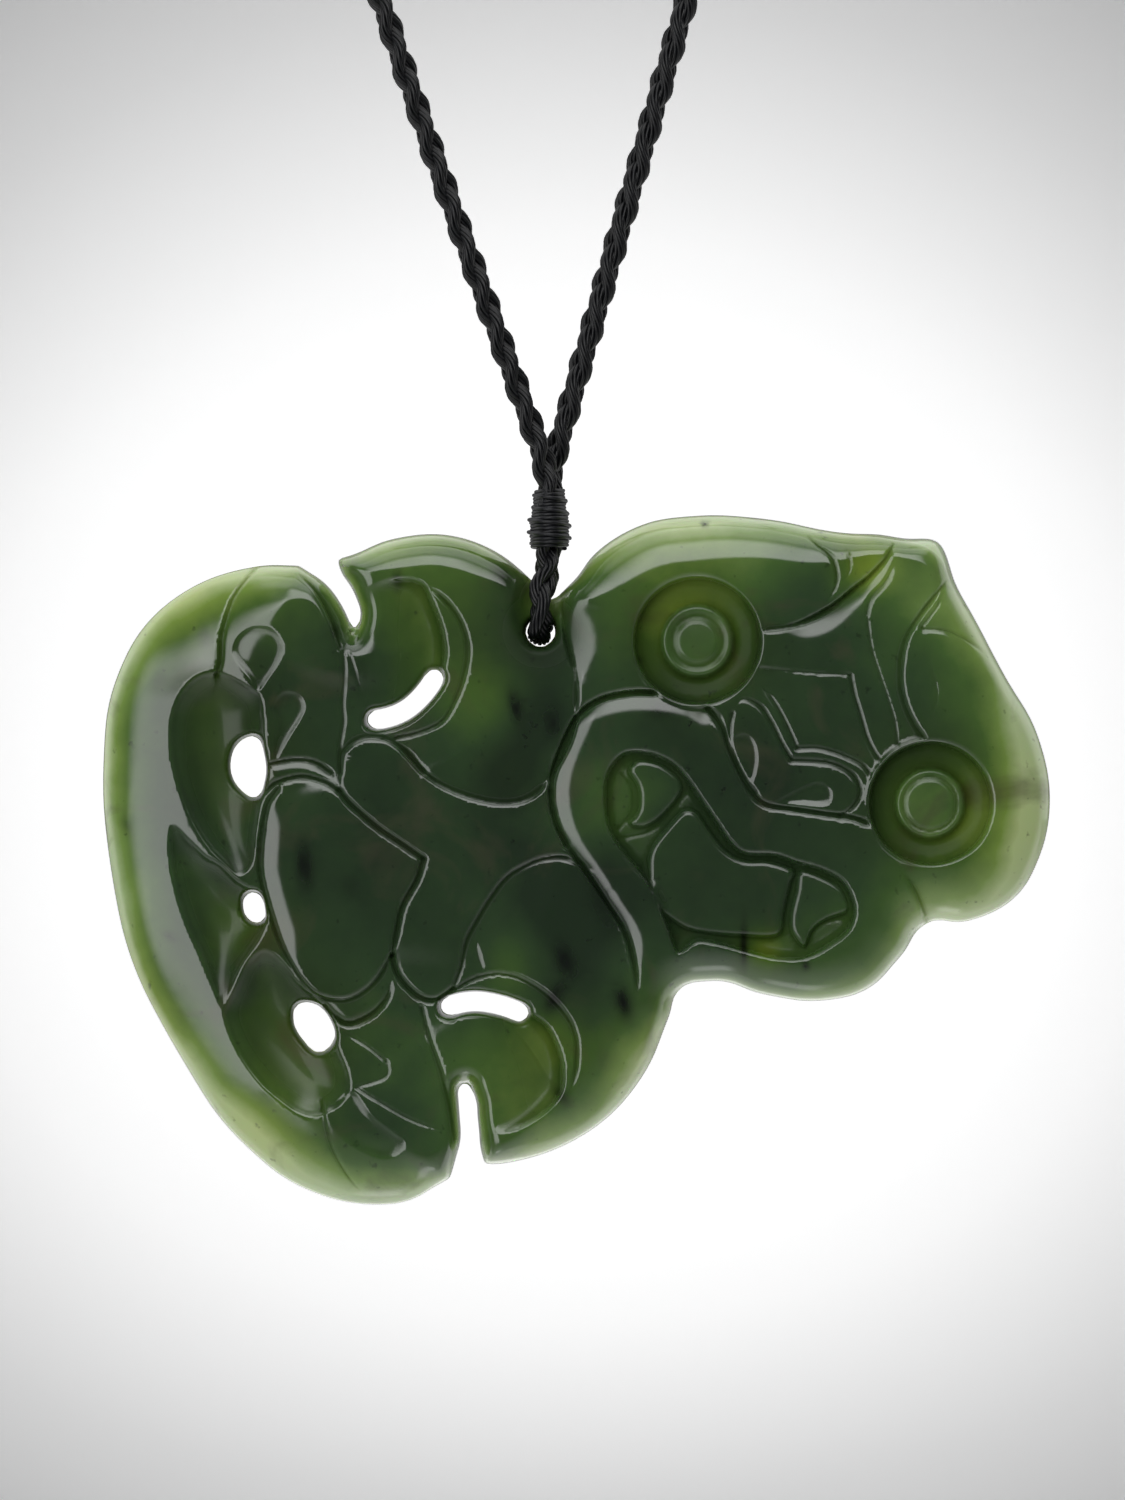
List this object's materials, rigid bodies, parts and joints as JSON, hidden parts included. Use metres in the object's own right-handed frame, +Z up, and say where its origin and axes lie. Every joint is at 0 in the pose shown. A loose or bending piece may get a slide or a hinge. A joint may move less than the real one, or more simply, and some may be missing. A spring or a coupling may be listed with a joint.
{
  "type": "hei tiki pendant necklace",
  "caption": "Carved greenstone figure pendant with pierced hollows and ringed eyes, hung from a plaited cord loop that a thread binding closes above the stone.",
  "frame": {"origin": "middle of the cord where it rests on the nape of the wearer's neck", "axes": "+X to the right of the figure as it is seen from the front, +Z up, the carved front faces -Y"},
  "size_m": [0.1168, 0.1167, 0.2883],
  "materials": {
    "greenstone": "polished",
    "plaited_cord": "satin",
    "binding_thread": "satin"
  },
  "bodies": {
    "cord": {"plaited_cord_left": "plaited_cord", "plaited_cord_right": "plaited_cord", "cord_binding": "binding_thread", "nape_join": "binding_thread"},
    "pendant": {"greenstone_tiki": "greenstone"}
  },
  "joints": [
    {"name": "pendant_swing", "type": "hinge", "parent": "cord", "child": "pendant", "pos_m": [0.0056, -0.11, -0.229], "axis": [0, 1, 0], "range_deg": [-5, 5]}
  ]
}
